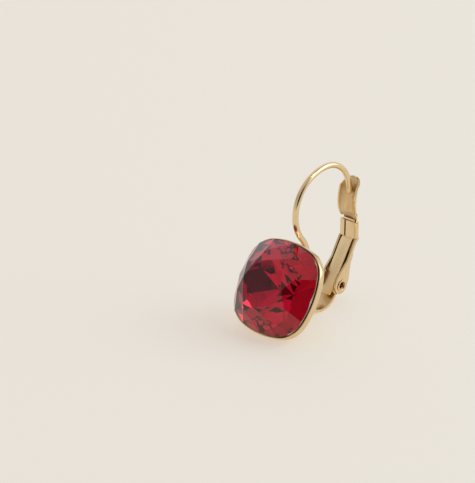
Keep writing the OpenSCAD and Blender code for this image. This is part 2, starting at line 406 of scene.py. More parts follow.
@dataclass(frozen=True)
class Sizes:
    """Sizes that more than one piece uses, in millimetres.

    A place is a depth and a height from the stone's middle, with the stone upright.
    """

    outline: Cushion = Cushion()
    table_h: float = 2.8
    table_r: float = 3.17
    wall_y: float = 1.2
    cup_y: float = 5.42
    cup_grow: float = 0.25
    strip_w: float = 2.24
    strip_t: float = 0.4
    leg_from_cup: float = 0.15
    trough_r: float = 3.03
    pin_from_trough: Point = (3.0, 1.19)
    bend_from_pin: Point = (-0.25, 6.47)
    lever_w: float = 2.94
    sheet_t: float = 0.3
    shell_top: float = 8.25
    shell_u: float = 0.385
    round_r: float = 15.0
    round_w: float = 4.0

    @property
    def leg_y(self) -> float:
        """Depth of the middle of the bracket's leg."""
        return self.cup_y + self.leg_from_cup

    @property
    def trough_y(self) -> float:
        """Depth of the middle of the bracket's trough."""
        return self.leg_y + self.trough_r

    @property
    def trough_z(self) -> float:
        """Work out the height of the trough's middle.

        Returns:
            The height at which cup and trough both touch the floor.
        """
        s, c = math.sin(LEAN), math.cos(LEAN)
        edge = self.outline.half + self.cup_grow
        out = self.trough_r + self.strip_t / 2
        return (out - self.wall_y * s - edge * c + self.trough_y * s) / c

    @property
    def pivot(self) -> Point:
        """Place of the hinge pin."""
        return (self.trough_y + self.pin_from_trough[0], self.trough_z + self.pin_from_trough[1])

    @property
    def bend(self) -> Point:
        """Place of the lever's bend."""
        return self.hinge(*self.bend_from_pin)

    @property
    def stand(self) -> Vector:
        """Work out where the stone's middle is in the shared frame.

        Returns:
            The place in millimetres: the part stands on the floor, with its box about the middle.
        """
        s, c = math.sin(LEAN), math.cos(LEAN)
        front = self.table_h * c + self.table_r * s
        rear = self.bend[0] * c + self.bend[1] * s + self.shell_back(self.shell_top)
        edge = self.outline.half + self.cup_grow
        return Vector((0.0, (front - rear) / 2, self.wall_y * s + edge * c))

    def shell_back(self, w: float) -> float:
        """Distance of the shell's round back behind the bend, at a height above the bend."""
        return self.shell_u + self.round_r - math.sqrt(self.round_r**2 - (w - self.round_w) ** 2)

    def upright(self, u: float, w: float) -> Point:
        """Place behind and above the lever's bend, as measured with the earring on the floor."""
        s, c = math.sin(LEAN), math.cos(LEAN)
        return (self.bend[0] + u * c - w * s, self.bend[1] + u * s + w * c)

    def hinge(self, y: float, z: float) -> Point:
        """Place behind and above the hinge pin."""
        return (self.pivot[0] + y, self.pivot[1] + z)


SIZES = Sizes()


def add_node(tree: Tree, kind: str, inputs: dict | None = None, **settings: object) -> Node:
    """Add a node.

    Args:
        tree: the node tree.
        kind: the node's type.
        inputs: values by the names or numbers of the node's inputs.
        settings: the node's own settings.

    Returns:
        The node.
    """
    node = tree.nodes.new(kind)
    for name, value in settings.items():
        setattr(node, name, value)
    for name, value in (inputs or {}).items():
        node.inputs[name].default_value = value
    return node


def wire_up(tree: Tree, *rows: tuple) -> None:
    """Link nodes, by rows of a node, its output, the next node and its input."""
    for source, out, target, into in rows:
        tree.links.new(source.outputs[out], target.inputs[into])


def variation_group() -> Tree:
    """Build the node group that varies a surface, once.

    Returns:
        The group, with a roughness, a mask for colour and a height for relief.
    """
    name = "surface_variation"
    if name in bpy.data.node_groups:
        return bpy.data.node_groups[name]
    tree = bpy.data.node_groups.new(name, "ShaderNodeTree")
    for side, labels in (("INPUT", ("Scale", "Low", "High")), ("OUTPUT", ("Roughness", "Mask", "Height"))):
        for label in labels:
            tree.interface.new_socket(label, in_out=side, socket_type="NodeSocketFloat")
    source = add_node(tree, "NodeGroupInput")
    sink = add_node(tree, "NodeGroupOutput")
    place = add_node(tree, "ShaderNodeTexCoord")
    broad = add_node(tree, "ShaderNodeTexNoise", {"Detail": 3.0})
    fine = add_node(tree, "ShaderNodeTexNoise", {"Detail": 4.0})
    finer = add_node(tree, "ShaderNodeMath", {1: 6.0}, operation="MULTIPLY")
    spread = add_node(tree, "ShaderNodeMapRange", {"From Min": 0.3, "From Max": 0.7})
    wire_up(
        tree,
        (place, "Object", broad, "Vector"),
        (place, "Object", fine, "Vector"),
        (source, "Scale", broad, "Scale"),
        (source, "Scale", finer, 0),
        (finer, 0, fine, "Scale"),
        (broad, "Fac", spread, "Value"),
        (source, "Low", spread, "To Min"),
        (source, "High", spread, "To Max"),
        (spread, "Result", sink, "Roughness"),
        (broad, "Fac", sink, "Mask"),
        (fine, "Fac", sink, "Height"),
    )
    return tree


@dataclass(frozen=True)
class Surface:
    """How a finish varies: its scale, roughness, two colours and relief.

    The span says between which values of the mask the colour goes from the first to the second.
    The relief's depth is in metres.
    """

    scale: float
    rough: Point
    colors: tuple[Color, Color]
    span: Point
    bump: float
    depth: float

    def build(self, name: str, values: dict) -> Material:
        """Make a material.

        Args:
            name: its name.
            values: constant values by the names of the main shader's inputs.

        Returns:
            The material.
        """
        material = bpy.data.materials.new(name)
        material.use_nodes = True
        tree = material.node_tree
        shader = tree.nodes["Principled BSDF"]
        for label, value in values.items():
            shader.inputs[label].default_value = value
        vary = add_node(tree, "ShaderNodeGroup", node_tree=variation_group())
        for label, value in (("Scale", self.scale), ("Low", self.rough[0]), ("High", self.rough[1])):
            vary.inputs[label].default_value = value
        first, second = ((*color, 1) for color in self.colors)
        mix = add_node(tree, "ShaderNodeMix", {"A": first, "B": second}, data_type="RGBA")
        ends = {"From Min": self.span[0], "From Max": self.span[1]}
        spread = add_node(tree, "ShaderNodeMapRange", ends)
        bump = add_node(tree, "ShaderNodeBump", {"Strength": self.bump, "Distance": self.depth})
        wire_up(
            tree,
            (vary, "Roughness", shader, "Roughness"),
            (vary, "Mask", spread, "Value"),
            (spread, "Result", mix, "Factor"),
            (mix, "Result", shader, "Base Color"),
            (vary, "Height", bump, "Height"),
            (bump, "Normal", shader, "Normal"),
        )
        return material


def shaded(color: Color, share: float) -> tuple[Color, Color]:
    """A colour that is a little darker, and the colour itself."""
    return tuple(c * share for c in color), color


@dataclass(frozen=True)
class GoldFinish:
    """Light gold plating, from polished to satin."""

    name: str
    color: Color = (0.82, 0.635, 0.385)
    deep: Color = (0.77, 0.57, 0.32)
    low: float = 0.12
    high: float = 0.22
    bump: float = 0.05

    def build(self) -> Material:
        """Make the material."""
        surface = Surface(500.0, (self.low, self.high), (self.deep, self.color), (0.25, 0.5),
                          self.bump, 0.00002)
        return surface.build(self.name, {"Metallic": 1.0})


@dataclass(frozen=True)
class CrystalFinish:
    """Clear ruby-red crystal, for the front of the stone."""

    color: Color = (0.66, 0.010, 0.050)
    ior: float = 1.52

    def build(self) -> Material:
        """Make the material."""
        surface = Surface(120.0, (0.0, 0.004), shaded(self.color, 0.92), (0.3, 0.7), 0.02, 0.000002)
        return surface.build("ruby_crystal", {"Transmission Weight": 1.0, "IOR": self.ior})


@dataclass(frozen=True)
class FoilFinish:
    """The reflecting coat on the back of the crystal, and the polish of its girdle."""

    name: str
    color: Color = (0.85, 0.50, 0.55)

    def build(self) -> Material:
        """Make the material."""
        surface = Surface(200.0, (0.01, 0.04), shaded(self.color, 0.9), (0.3, 0.7), 0.03, 0.000002)
        return surface.build(self.name, {"Metallic": 0.9})


@dataclass(frozen=True)
class PaperFinish:
    """The pale paper that the earring stands on. Its warm emission is painted light that lightens the
    shadows on it; its bluish colour leaves those shadows warm.
    """

    # Bluish, so that the shadows, lit mostly by the paper's own emission, look warm: painted shadow colour
    color: Color = (0.35, 0.46, 0.48)
    # Painted light: the paper glows warm, which fills in and warms its shadows
    painted_glow: Color = (0.54, 0.42, 0.34)

    def build(self) -> Material:
        """Make the material."""
        surface = Surface(60.0, (0.8, 0.95), shaded(self.color, 0.99), (0.3, 0.7), 0.08, 0.00005)
        return surface.build("floor_paper", {"Specular IOR Level": 0.1, "Emission Strength": 1.0,
                                             "Emission Color": (*self.painted_glow, 1)})


@dataclass
class Stone:
    """The square cushion-cut crystal.

    Heights are in front of the girdle or behind it. The tips of the kites and of the back's main
    facets lie a little inside the outline.
    """

    outline: Cushion = SIZES.outline
    table_h: float = SIZES.table_h
    table_r: float = SIZES.table_r
    culet_h: float = 3.75
    kite_h: float = 0.45
    kite_in: float = 0.3
    star_tilt: float = math.radians(27)
    back_h: float = 0.45
    back_in: float = 0.2
    back_side_h: float = 0.2
    back_meet_r: float = 3.4
    girdle_lean: float = 0.05
    sharp: float = 0.06

    def at(self, a: float, r: float, h: float) -> Vector:
        """Place at a direction, a distance from the middle and a height in front of the girdle."""
        return Vector((r * math.cos(a), r * math.sin(a), h))

    def plane(self, p: Vector, q: Vector, r: Vector) -> Plane:
        """Plane through three places, as its outward normal and its distance from the middle."""
        n = (q - p).cross(r - p).normalized()
        return (n, n.dot(p)) if n.dot(p) > 0 else (-n, -n.dot(p))

    def level(self, a: float, p: Vector, q: Vector) -> Plane:
        """Plane through two places that lies level across the direction a."""
        return self.plane(p, q, p + Vector((-math.sin(a), math.cos(a), 0)))

    def meet(self, f: Plane, g: Plane, h: Plane) -> Vector:
        """Place where three planes meet."""
        top = f[1] * g[0].cross(h[0]) + g[1] * h[0].cross(f[0]) + h[1] * f[0].cross(g[0])
        return top / f[0].dot(g[0].cross(h[0]))

    def kite_tip(self, a: float) -> Vector:
        """Outer tip of a kite."""
        return self.at(a, self.outline.reach(a) - self.kite_in, self.kite_h)

    def kite(self, a: float) -> Plane:
        """Plane of a kite."""
        return self.level(a, self.at(a, self.table_r, self.table_h), self.kite_tip(a))

    def back_tip(self, a: float) -> Vector:
        """Outer tip of a main facet of the back."""
        return self.at(a, self.outline.reach(a) - self.back_in, -self.back_h)

    def back_main(self, a: float) -> Plane:
        """Plane of a main facet of the back."""
        return self.level(a, Vector((0, 0, -self.culet_h)), self.back_tip(a))

    def star(self, a: float) -> Plane:
        """Find the plane of a star, which starts at an edge of the table.

        Args:
            a: direction of the star, in radians.

        Returns:
            The plane.
        """
        r = self.table_r * math.cos(math.pi / 8)
        drop = math.tan(self.star_tilt)
        return self.level(a, self.at(a, r, self.table_h), self.at(a, r + 1, self.table_h - drop))

    def facets(self) -> list[Plane]:
        """Work out the planes of all facets but the table.

        Returns:
            The planes, an eighth of the stone after the other.
        """
        found = []
        for k in range(8):
            a = k * math.pi / 4
            b = a + math.pi / 4
            m = a + math.pi / 8
            found += [self.kite(a), self.back_main(a), self.star(m)]
            wall = (Vector((math.cos(m), math.sin(m), 0)), self.back_meet_r)
            top = self.meet(self.kite(a), self.kite(b), self.star(m))
            low = self.meet(self.back_main(a), self.back_main(b), wall)
            for meet, tip, h in ((top, self.kite_tip, 0.0), (low, self.back_tip, -self.back_side_h)):
                out = math.atan2(meet.y, meet.x)
                girdle = self.at(out, self.outline.reach(out), h)
                found += [self.plane(meet, tip(a), girdle), self.plane(meet, tip(b), girdle)]
        return found

    def build(self) -> Mesh:
        """Cut the stone from a cushion-shaped block.

        Returns:
            The mesh, with its finishes given out.
        """
        bm = bmesh.new()
        self.outline.draw(bm, 0.0, -self.table_h)
        bmesh.ops.contextual_create(bm, geom=bm.edges[:])
        push(bm, bm.faces[:], (0, self.table_h + self.culet_h, 0))
        for normal, distance in self.facets():
            n = Vector((normal.x, -normal.z, normal.y))
            cut = bmesh.ops.bisect_plane(bm, geom=bm.verts[:] + bm.edges[:] + bm.faces[:], dist=CUT,
                                         plane_co=n * distance, plane_no=n, clear_outer=True)
            edges = only(cut["geom_cut"], Edge)
            if edges:
                bmesh.ops.contextual_create(bm, geom=edges)
        bmesh.ops.remove_doubles(bm, verts=bm.verts[:], dist=WELD)
        outward(bm)
        for face in bm.faces:
            face.material_index = Facet.BACK if face.normal.y > 0 else Facet.FRONT
            if abs(face.normal.y) < self.girdle_lean:
                face.material_index = Facet.GIRDLE
        return bm

    def dress(self, front: Material, back: Material, girdle: Material) -> None:
        """Make the piece with its clear front, its coated back and its bright girdle."""
        piece("crystal", self.build(), [front, back, girdle], Body.FIXED, Slot.CRYSTAL, "stone",
              sharp=self.sharp)


@dataclass
class Cup:
    """The metal cup round the stone, with a seat inside, a rounded lip and a flat back.

    A rounding is a row of places from a corner: how far inward, and how far behind it.
    """

    stone_gap: float = 0.07
    lip_y: float = 0.3
    seat_y: float = 0.62
    seat_fall: float = 0.03
    seat_grow: float = -0.25
    back_grow: float = -3.3
    wall: float = 0.3
    lip_round: tuple[Point, ...] = ((0.0, 0.07), (0.02, 0.03), (0.05, 0.01))
    lip_flat: float = 0.09
    shoulder_round: tuple[Point, ...] = ((0.0, -0.08), (0.01, -0.02), (0.035, 0.02), (0.09, 0.1))
    back_round: tuple[Point, ...] = ((-0.12, -0.14), (-0.04, -0.04), (0.06, 0.0))
    sharp: float = 0.5

    def profile(self) -> list[Point]:
        """Work out the cup's section.

        Returns:
            Outset and depth of its loops, from the inside of the back round the lip to the back.
        """
        grow, y0, y1 = SIZES.cup_grow, SIZES.wall_y, SIZES.cup_y
        slope = (grow - self.back_grow) / (y1 - y0)
        across = self.wall * math.sqrt(1 + slope**2)
        inner = y1 - self.wall
        seat_end = y0 + (grow - across - self.seat_grow) / slope
        in_grow = grow - across - slope * (inner - y0)
        gap, lip = self.stone_gap, self.lip_y
        return [
            (in_grow, inner),
            (self.seat_grow, seat_end),
            (self.seat_grow, self.seat_y + self.seat_fall),
            (gap, self.seat_y),
            *((gap + a, lip + b) for a, b in self.lip_round),
            (gap + self.lip_flat, lip),
            *((grow - a, lip + b) for a, b in reversed(self.lip_round)),
            *((grow - a, y0 + b) for a, b in self.shoulder_round),
            *((self.back_grow - a, y1 + b) for a, b in self.back_round),
        ]

    def build(self) -> Mesh:
        """Loft the cup through its loops.

        Returns:
            The mesh.
        """
        bm = bmesh.new()
        loops = [SIZES.outline.draw(bm, grow, y) for grow, y in self.profile()]
        for one, two in zip(loops, loops[1:]):
            bmesh.ops.bridge_loops(bm, edges=one + two)
        for end in (loops[0], loops[-1]):
            bmesh.ops.contextual_create(bm, geom=end)
        outward(bm)
        return bm

    def dress(self, gold: Material) -> None:
        """Make the piece."""
        piece("cup", self.build(), [gold], Body.FIXED, Slot.GOLD, "setting", sharp=self.sharp)


@dataclass
class Bracket:
    """The curved strip behind the cup and its two hinge plates.

    The plates' round side runs between two directions from the hinge pin, in degrees.
    """

    leg_rise: float = 0.33
    trough_steps: int = 56
    edge_round: float = 0.05
    corner_steps: int = 10
    flat_end: float = 0.06
    plate_t: float = 0.2
    plate_r: float = 1.35
    plate_round: float = 0.03
    plate_arc: Point = (207, 93)
    plate_steps: int = 40
    plate_corner: Point = (-1.18, 1.3)
    hole_r: float = 0.58

    def strip(self) -> Mesh:
        """Bend the strip: a rounded leg, a half-round trough and a short end.

        Returns:
            The mesh; the inside of its trough has the second material, a darker gold that paints its shade.
        """
        s = SIZES
        bm = bmesh.new()
        bmesh.ops.create_grid(bm, **ONE_FACE, matrix=Matrix.Translation((0, s.leg_y, s.trough_z)))
        for v in bm.verts:
            v.co.x *= s.strip_w / 2
            v.co.y = s.leg_y + (v.co.y - s.leg_y) * s.strip_t / 2
        leg_h = self.leg_rise + s.strip_w / 2
        push(bm, bm.faces[:], (0, 0, leg_h))
        start = [f for f in bm.faces if abs(f.calc_center_median().z - s.trough_z) < WELD]
        bmesh.ops.delete(bm, geom=start, context="FACES_ONLY")
        ring = [e for e in bm.edges if e.is_boundary]
        last = only(spin(bm, ring, (0, s.trough_y, s.trough_z), (1, 0, 0), math.pi,
                         self.trough_steps), Edge)
        end = bmesh.ops.extrude_edge_only(bm, edges=last)["geom"]
        verts = only(end, Vert)
        bmesh.ops.translate(bm, verts=verts, vec=(0, 0, self.leg_rise))
        rim = [e for e in only(end, Edge) if all(v in verts for v in e.verts)]
        bmesh.ops.contextual_create(bm, geom=rim)
        bmesh.ops.remove_doubles(bm, verts=bm.verts[:], dist=WELD)
        outward(bm)
        corners = [e for e in bm.edges if all(abs(v.co.z - s.trough_z - leg_h) < NEAR for v in e.verts)
                   and abs(e.verts[0].co.x - e.verts[1].co.x) < WELD]
        round_off(bm, corners, (s.strip_w - self.flat_end) / 2, self.corner_steps)
        soften(bm, self.edge_round)
        mark(bm, self.in_trough)
        return bm

    def in_trough(self, face: Face) -> bool:
        """Tell whether a face is on the inside of the trough."""
        y, z = face.calc_center_median().yz - Vector((SIZES.trough_y, SIZES.trough_z))
        return z < 0 and math.hypot(y, z) < SIZES.trough_r - SIZES.strip_t / 2 + self.edge_round

    def plates(self) -> Mesh:
        """Cut the two hinge plates.

        Returns:
            The mesh; their inner faces have the second material, which paints their shade.
        """
        start, end = (SIZES.hinge(self.plate_r * math.cos(math.radians(a)),
                                  self.plate_r * math.sin(math.radians(a))) for a in self.plate_arc)
        points = [start, Arc(SIZES.pivot, end, self.plate_steps), SIZES.hinge(*self.plate_corner)]
        out = (SIZES.strip_w - self.plate_t) / 2
        bm = pair(points, self.plate_t, self.hole_r, self.plate_round, out)
        mark(bm, looks_in)
        return bm

    def dress(self, gold: Material, trough: Material, painted_shade: Material) -> None:
        """Make the pieces."""
        piece("bracket_strip", self.strip(), [gold, trough], Body.FIXED, Slot.GOLD, "setting")
        piece("hinge_plates", self.plates(), [gold, painted_shade], Body.FIXED, Slot.GOLD, "setting")


@dataclass
class EarHook:
    """The round wire that goes through the ear.

    A bend has a radius and a turn in degrees, up to the left as seen from plus X. A step of the
    tip has a length and a share of the width before it.
    """

    radius: float = 0.4
    sides: int = 28
    below: float = 0.38
    bends: tuple[Point, ...] = ((5.8, 71), (5.1, -109), (7.3, -20), (4.8, -92))
    bend_step: float = 2.2
    tip: tuple[Point, ...] = ((0.12, 0.95), (0.11, 0.82), (0.07, 0.66))
    sharp: float = 1.2

    def build(self) -> Mesh:
        """Sweep the wire through its bends and round its tip.

        Returns:
            The mesh.
        """
        bm = bmesh.new()
        place = Vector((0, SIZES.leg_y, SIZES.trough_z - self.below))
        ahead = Vector((0, 0, 1))
        bmesh.ops.create_circle(bm, cap_ends=True, radius=self.radius, segments=self.sides,
                                matrix=Matrix.Translation(place))
        faces = bm.faces[:]
        for radius, degrees in self.bends:
            turn = math.radians(degrees)
            centre = place + math.copysign(radius, turn) * Vector((0, -ahead.z, ahead.y))
            last = spin(bm, faces, centre, (1, 0, 0), turn, int(abs(degrees) / self.bend_step))
            faces = only(last, Face)
            bend = Matrix.Rotation(turn, 3, "X")
            place = centre + bend @ (place - centre)
            ahead = bend @ ahead
        for step, shrink in self.tip:
            made = push(bm, faces, ahead * step)
            faces, verts = only(made, Face), only(made, Vert)
            middle = sum((v.co for v in verts), Vector()) / len(verts)
            bmesh.ops.scale(bm, verts=verts, vec=(shrink,) * 3, space=Matrix.Translation(-middle))
        bmesh.ops.remove_doubles(bm, verts=bm.verts[:], dist=WELD)
        inside = [f for f in bm.faces if len(f.verts) > 4 and all(len(e.link_faces) > 2 for e in f.edges)]
        bmesh.ops.delete(bm, geom=inside, context="FACES_ONLY")
        outward(bm)
        return bm

    def dress(self, gold: Material) -> None:
        """Make the piece."""
        piece("ear_hook", self.build(), [gold], Body.FIXED, Slot.GOLD, "setting", sharp=self.sharp)


@dataclass
class Collar:
    """The flat band round the neck and the spring, with a slot for them and a seam in front.

    It is built standing on the lever's bend, and leaned with the rest of the lever's upper part.
    The bottom of the seam is pinched toward the top.
    """

    height: float = 2.35
    thick: float = 0.7
    middle_u: float = 0.05
    bulge: float = 0.05
    slot: Point = (-0.17, 0.105)
    slot_w: float = 2.02
    seam: Point = (-0.55, -0.29)
    seam_wall: float = 0.03
    pinch: float = 0.7
    pinch_h: Point = (0.8, 2.1)
    clear: float = 0.01
    right_steps: int = 12
    left_steps: int = 8
    end_steps: int = 12
    edge_round: float = 0.05
    mouth_h: float = 0.4
    mouth_flare: float = 0.07

    @property
    def reach(self) -> float:
        """Distance of its round sides' centres from the middle."""
        return SIZES.lever_w / 2 - self.thick / 2

    def front(self, x: float) -> Vector:
        """Place on its front, which bulges a little, at a distance across."""
        return Vector((x, self.middle_u - self.thick / 2 - self.bulge * (1 - (x / self.reach) ** 2), 0))

    def front_line(self, bm: Mesh, vert: Vert, end: float, steps: int) -> Vert:
        """Draw a stretch of the front.

        Args:
            bm: the mesh.
            vert: where it starts.
            end: how far across it ends.
            steps: number of edges.

        Returns:
            The vertex at the end.
        """
        start = vert.co.x
        for k in range(1, steps + 1):
            vert = line(bm, vert, self.front(start + (end - start) * k / steps))
        return vert

    def build(self) -> Mesh:
        """Wrap the band round the neck and the spring.

        Returns:
            The mesh; the walls of its slot and of its seam have the second material, which paints the shade
            in them.
        """
        bm = bmesh.new()
        up = Vector((0, 0, 1))
        left, right = self.seam
        deep = self.slot[0] - self.seam_wall
        vert = bm.verts.new(self.front(right))
        vert = self.front_line(bm, vert, self.reach, self.right_steps)
        vert = arc(bm, vert, Vector((self.reach, self.middle_u, 0)), up, math.pi, self.end_steps)
        vert = line(bm, vert, Vector((-self.reach, self.middle_u + self.thick / 2, 0)))
        vert = arc(bm, vert, Vector((-self.reach, self.middle_u, 0)), up, math.pi, self.end_steps)
        vert = self.front_line(bm, vert, left, self.left_steps)
        vert = line(bm, vert, Vector((left, deep, 0)))
        line(bm, vert, Vector((right, deep, 0)))
        close(bm)
        middle = sum(self.slot) / 2
        made = bmesh.ops.create_grid(bm, **ONE_FACE, matrix=Matrix.Translation((0, middle, 0)))
        for v in made["verts"]:
            v.co.x *= self.slot_w / 2
            v.co.y = self.slot[0] if v.co.y < middle else self.slot[1]
        bmesh.ops.delete(bm, geom=bm.faces[:], context="FACES_ONLY")
        fill(bm)
        push(bm, bm.faces[:], (0, 0, self.height))
        outward(bm)
        rim = [e for e in bm.edges if e.calc_face_angle(0.0) > SHARP
               and abs(e.verts[0].co.z - e.verts[1].co.z) < WELD and not self.on_slot(e.verts)]
        round_off(bm, rim, self.edge_round, 2)
        bmesh.ops.bisect_plane(bm, geom=bm.verts[:] + bm.edges[:] + bm.faces[:], dist=CUT,
                               plane_co=(0, 0, self.height - self.mouth_h), plane_no=up)
        seam_x, seam_half = (left + right) / 2, (right - left) / 2
        for v in bm.verts:
            if v.co.y < self.slot[0] - self.clear and abs(v.co.x - seam_x) < seam_half - self.clear:
                v.co.x += (seam_x - v.co.x) * self.pinch * smooth(*self.pinch_h, v.co.z)
            if v.co.z > self.height - NEAR and self.on_slot([v]):
                v.co.y += math.copysign(self.mouth_flare, v.co.y)
        mark(bm, lambda face: self.on_slot(face.verts) or self.on_seam(face))
        return bm

    def on_slot(self, verts: Sequence[Vert]) -> bool:
        """Tell whether vertices lie on the walls of the slot, also where its mouth is flared.

        Args:
            verts: the vertices.

        Returns:
            True if they all do.
        """
        half_x, half_y = self.slot_w / 2, (self.slot[1] - self.slot[0]) / 2
        for v in verts:
            x, y = abs(v.co.x), abs(v.co.y - sum(self.slot) / 2)
            if x > half_x + NEAR or y > half_y + self.mouth_flare + NEAR:
                return False
            if x < half_x - NEAR and y < half_y - NEAR:
                return False
        return True

    def on_seam(self, face: Face) -> bool:
        """Tell whether a face is a wall of the seam."""
        left, right = self.seam
        return abs(face.normal.z) < LEANING and all(left - NEAR < v.co.x < right + NEAR for v in face.verts)


@dataclass
class Shell:
    """The hollow spoon-shaped shell that takes the tip of the ear hook.

    Seen from the side, its rim is an arc about a place in front of it, and its back is the round
    back of the lever. Seen from the end, it is an arc of twice the turn. It deepens over the
    opening, given from its lower end.
    """

    low: float = 2.85
    half_w: float = 1.5
    low_half_w: float = 1.2
    full_w: float = 4.1
    top_r: float = 1.1
    top_flat: float = 0.8
    rim_r: float = 5.2
    rim_middle: Point = (4.43, 5.1)
    turn: float = math.radians(76.7)
    opening: Point = (-0.15, 0.8)
    low_blunt: float = 0.02
    thick: float = 0.28
    edge_round: float = 0.08
    inside_lean: float = 0.2

    def half(self, w: float) -> float:
        """Work out how wide the shell is.

        Args:
            w: height above the lever's bend.

        Returns:
            Half its width there.
        """
        top = SIZES.shell_top - self.top_r
        if w < self.full_w:
            down = (self.full_w - w) / (self.full_w + self.low_blunt - self.low)
            return self.low_half_w + (self.half_w - self.low_half_w) * math.sqrt(1 - down**2)
        if w > top:
            return self.half_w - self.top_r + math.sqrt(max(0.0, self.top_r**2 - (w - top) ** 2))
        return self.half_w

    def place(self, side: float, w: float) -> Vector:
        """Find a place on the inside of the shell.

        Args:
            side: place across, from -1 to 1.
            w: height above the lever's bend.

        Returns:
            The place from the lever's bend.
        """
        half = self.half(w)
        rim = self.rim_middle[0] - math.sqrt(self.rim_r**2 - (w - self.rim_middle[1]) ** 2)
        opened = smooth(self.low + self.opening[0], self.low + self.opening[1], w)
        deep = (SIZES.shell_back(w) - rim) * math.sqrt(1 - (1 - opened) ** 2)
        bowl = (math.cos(side * self.turn) - math.cos(self.turn)) / (1 - math.cos(self.turn))
        if w > SIZES.shell_top - self.top_r:
            top = math.sqrt(max(0.0, 1 - (half / self.half_w) ** 2))
            bowl += (1 - bowl) * top * self.top_flat
        return Vector((half * math.sin(side * self.turn) / math.sin(self.turn), rim + deep * bowl, w))

    def build(self) -> Mesh:
        """Press the shell from a sheet.

        Returns:
            The mesh; its inside has the second material, rougher and a little darker as painted shade.
        """
        bm = bmesh.new()
        bmesh.ops.create_grid(bm, x_segments=32, y_segments=64, size=1.0)
        for v in bm.verts:
            v.co = self.place(v.co.x, self.low + (SIZES.shell_top - self.low) * (v.co.y + 1) / 2)
        outward(bm)
        if sum(f.normal.y for f in bm.faces) < 0:
            bmesh.ops.reverse_faces(bm, faces=bm.faces[:])
        bmesh.ops.solidify(bm, geom=bm.faces[:], thickness=self.thick)
        outward(bm)
        soften(bm, self.edge_round, segments=3, angle=0.9)
        mark(bm, self.inside)
        return bm

    def inside(self, face: Face) -> bool:
        """Tell whether a face is on the inside, short of the rim."""
        return face.normal.y < -self.inside_lean and abs(face.calc_center_median().x) < self.low_half_w


@dataclass
class Lever:
    """The hinged back: two sides and a web, a collar and a hollow shell on a neck."""

    eye_r: float = 1.22
    eye_steps: int = 36
    hole_r: float = 0.6
    web_t: float = 0.23
    sides_w: float = 0.04
    edge_round: float = 0.05
    web_gap: float = 0.01
    neck_x: float = 1.05
    neck_low: float = 0.3
    neck_gap: float = 0.005
    neck_in_shell: Point = (0.3, 0.5)
    neck_round: float = 0.04
    collar: Collar = field(default_factory=Collar)
    shell: Shell = field(default_factory=Shell)

    def back_edge(self) -> list[Point]:
        """Back edge of the sides, from the eye up to the bend."""
        h = SIZES.hinge
        return [h(0.93, 1.54), h(0.65, 2.14), h(0.21, 3.34), h(0.17, 4.2), h(-0.12, 4.64), h(-0.12, 5.89),
                h(0.09, 6.52), SIZES.upright(0.38, self.sides_w)]

    def channel(self) -> Mesh:
        """Cut the two sides and the web that joins them.

        Returns:
            The mesh; the faces inside the fold have the second material, which paints the shade there.
        """
        h = SIZES.hinge
        points = [
            SIZES.upright(-0.28, self.sides_w), h(-0.5, 6.32), h(-0.5, 3.24), h(-1.2, 0.94),
            h(-self.eye_r, 0.12), Arc(SIZES.pivot, h(self.eye_r, 0.1), self.eye_steps), h(1.06, 1.24),
            *self.back_edge(),
        ]
        inner_w = SIZES.lever_w - SIZES.sheet_t
        sides = pair(points, SIZES.sheet_t, self.hole_r, self.edge_round, inner_w / 2)
        top = SIZES.upright(self.collar.slot[1] + self.web_gap, self.sides_w)
        ahead = [(y - self.web_t, z) for y, z in reversed(self.back_edge()[:-1])]
        bm = joined([sides, plate([*self.back_edge(), top, *ahead], inner_w)])
        mark(bm, self.in_fold)
        return bm

    def in_fold(self, face: Face) -> bool:
        """Tell whether a face is inside the fold.

        Args:
            face: the face.

        Returns:
            True on the front of the web and the inside of a side.
        """
        from_wall = abs(face.calc_center_median().x) - (SIZES.lever_w / 2 - SIZES.sheet_t)
        if looks_in(face):
            return from_wall < self.edge_round
        return face.normal.y < -LEANING and from_wall < -self.edge_round

    def neck(self) -> Mesh:
        """Cut the flat neck between the collar and the shell.

        Returns:
            The mesh; its front has the second material, which paints its shade.
        """
        ahead, behind = self.collar.slot[1] + self.neck_gap, SIZES.shell_u
        top_ahead, top_behind = (self.shell.low + h for h in self.neck_in_shell)
        bm = plate([(ahead, self.neck_low), (behind, self.neck_low), (behind, top_behind),
                    (ahead, top_ahead)], 2 * self.neck_x)
        soften(bm, self.neck_round)
        mark(bm, lambda face: face.normal.y < -LEANING)
        return bm

    def dress(self, gold: Material, painted_shade: Material, bowl: Material) -> None:
        """Make the pieces.

        Args:
            gold: the finish of the outer faces.
            painted_shade: the finish of the faces in narrow places, a dark brown that paints their shade.
            bowl: the finish of the inside of the shell, rougher than the rest and a little darker as
                painted shade.
        """
        piece("lever_sides", self.channel(), [gold, painted_shade], Body.LEVER, Slot.GOLD, "lever")
        raise_up = Matrix.Translation((0, *SIZES.bend)) @ Matrix.Rotation(LEAN, 4, "X")
        for name, bm, inner in (("collar", self.collar.build(), painted_shade),
                                ("lever_shell", self.shell.build(), bowl),
                                ("lever_neck", self.neck(), painted_shade)):
            bmesh.ops.transform(bm, matrix=raise_up, verts=bm.verts[:])
            piece(name, bm, [gold, inner], Body.LEVER, Slot.GOLD, "lever")


